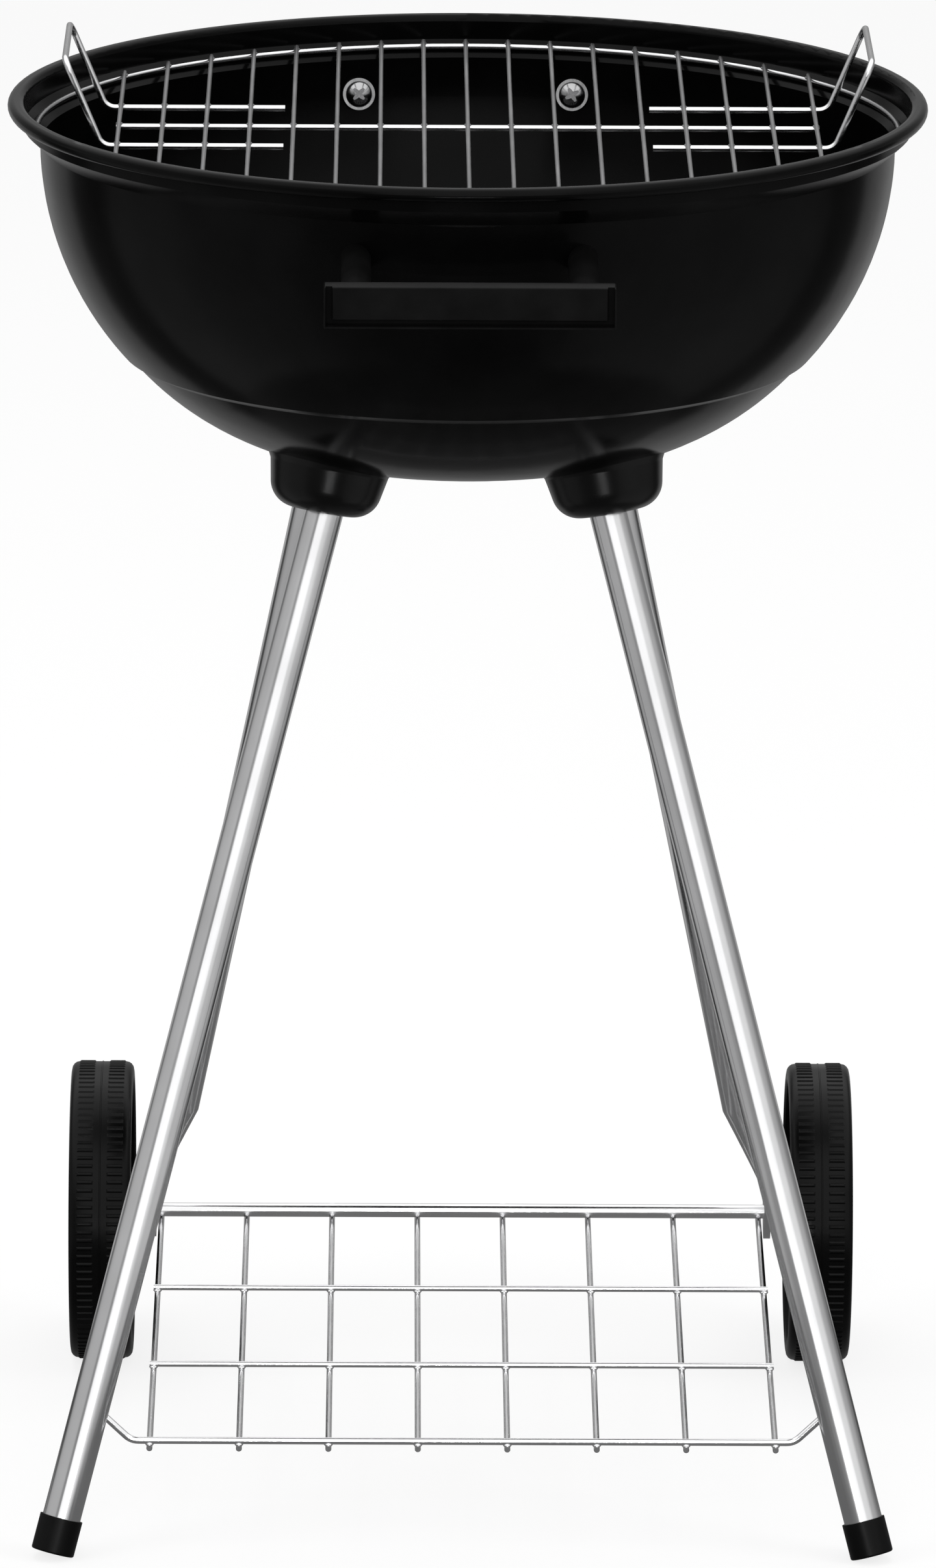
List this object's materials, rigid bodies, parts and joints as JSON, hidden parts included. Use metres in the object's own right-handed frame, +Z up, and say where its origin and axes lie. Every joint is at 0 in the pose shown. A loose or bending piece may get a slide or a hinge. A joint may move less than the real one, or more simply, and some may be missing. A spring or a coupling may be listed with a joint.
{
  "type": "kettle charcoal grill",
  "caption": "Round kettle charcoal grill: enamelled bowl on splayed tube legs with wheels, wire rack, side handles and lift-out cooking and charcoal grates.",
  "frame": {"origin": "on the floor, straight under the middle of the bowl", "axes": "+Z up; -Y to the front, the side of the footed legs; +Y to the wheels; +X to the right seen from the front"},
  "size_m": [0.4559, 0.53, 0.7253],
  "materials": {
    "black_enamel": "gloss enamel",
    "socket_black": "gloss",
    "bright_tube": "polished",
    "foot_black": "satin",
    "wheel_black": "moulded",
    "cap_steel": "zinc plated",
    "axle_steel": "bright zinc",
    "rack_wire": "bright plated",
    "handle_black": "satin",
    "screw_steel": "zinc plated",
    "plug_steel": "plain",
    "rod_steel": "dull plated",
    "grate_wire": "bright plated",
    "coal_steel": "plain"
  },
  "bodies": {
    "stand": {"axle": "axle_steel", "axle_cap_left": "cap_steel", "axle_cap_right": "cap_steel", "axle_washers": "axle_steel", "bowl": "black_enamel", "foot_cap_left": "foot_black", "foot_cap_right": "foot_black", "front_handle": "handle_black", "front_leg_left": "bright_tube", "front_leg_right": "bright_tube", "handle_screws": "screw_steel", "handle_washers": "screw_steel", "leg_plugs": "plug_steel", "leg_screws": "screw_steel", "leg_socket_front_left": "socket_black", "leg_socket_front_right": "socket_black", "leg_socket_rear_left": "socket_black", "leg_socket_rear_right": "socket_black", "rack_cross_wires": "rack_wire", "rack_front_rail": "rack_wire", "rack_wires": "rack_wire", "rear_handle": "handle_black", "rear_leg_left": "bright_tube", "rear_leg_right": "bright_tube"},
    "wheel_left": {"wheel_left": "wheel_black"},
    "wheel_right": {"wheel_right": "wheel_black"},
    "cooking_grate": {"cooking_grate_cross_rod": "grate_wire", "cooking_grate_ring": "grate_wire", "cooking_grate_rods": "rod_steel", "grate_handle_left": "grate_wire", "grate_handle_right": "grate_wire"},
    "charcoal_grate": {"charcoal_grate_cross_rods": "coal_steel", "charcoal_grate_ring": "coal_steel", "charcoal_grate_rods": "coal_steel"}
  },
  "joints": [
    {"name": "wheel_left_spin", "type": "hinge", "parent": "stand", "child": "wheel_left", "pos_m": [0, 0.15153, 0.0775], "axis": [1, 0, 0], "continuous": true},
    {"name": "wheel_right_spin", "type": "hinge", "parent": "stand", "child": "wheel_right", "pos_m": [0, 0.15153, 0.0775], "axis": [1, 0, 0], "continuous": true},
    {"name": "cooking_grate_lift", "type": "slide", "parent": "stand", "child": "cooking_grate", "axis": [0, 0, 1], "range_m": [0, 0.16]},
    {"name": "charcoal_grate_lift", "type": "slide", "parent": "stand", "child": "charcoal_grate", "axis": [0, 0, 1], "range_m": [0, 0.095]}
  ]
}
